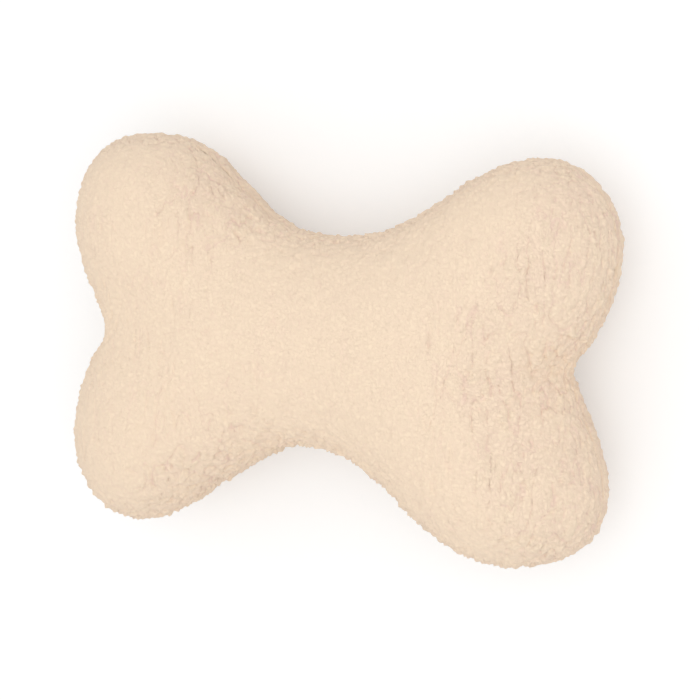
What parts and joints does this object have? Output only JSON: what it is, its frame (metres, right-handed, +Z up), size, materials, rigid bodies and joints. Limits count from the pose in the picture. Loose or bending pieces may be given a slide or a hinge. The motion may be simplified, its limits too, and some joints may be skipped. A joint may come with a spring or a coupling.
{
  "type": "bone-shaped dog toy",
  "caption": "Stuffed bone-shaped dog toy in cream sherpa fleece, sewn from two panels and filled with fibre round a squeaker.",
  "frame": {"origin": "bottom centre of the toy as it lies on its back panel", "axes": "+X along the bone, to the right in the picture; +Y across it, up in the picture; +Z up through its thickness, out of the front panel"},
  "size_m": [0.2274, 0.1578, 0.0705],
  "materials": {
    "sherpa_fleece": "sherpa fleece with curled pile",
    "fibre_filling": "loose polyester fibre",
    "bulb_plastic": "soft translucent blown plastic",
    "whistle_plastic": "moulded white plastic",
    "reed_film": "thin springy plastic film"
  },
  "bodies": {
    "cover": {"front_panel": "sherpa_fleece", "back_panel": "sherpa_fleece", "filling_top_right": "fibre_filling", "filling_top_left": "fibre_filling", "filling_bottom_left": "fibre_filling", "filling_bottom_right": "fibre_filling", "filling_front": "fibre_filling", "filling_back": "fibre_filling", "whistle_sleeve": "whistle_plastic", "whistle_toneboard": "whistle_plastic", "whistle_wedge": "whistle_plastic"},
    "bulb": {"squeaker_bulb": "bulb_plastic"},
    "reed": {"whistle_reed": "reed_film"}
  },
  "joints": [
    {"name": "squeaker_press", "type": "slide", "parent": "cover", "child": "bulb", "axis": [0, 0, -1], "range_m": [0, 0.01], "stiffness_N_per_m": 500, "deforming": ["squeaker_bulb"]},
    {"name": "reed_flutter", "type": "hinge", "parent": "cover", "child": "reed", "pos_m": [0.02975, -0.00125, 0.03484], "axis": [0, 1, 0], "range_deg": [-1.5, 1.5], "stiffness_Nm_per_rad": 0.00002}
  ]
}
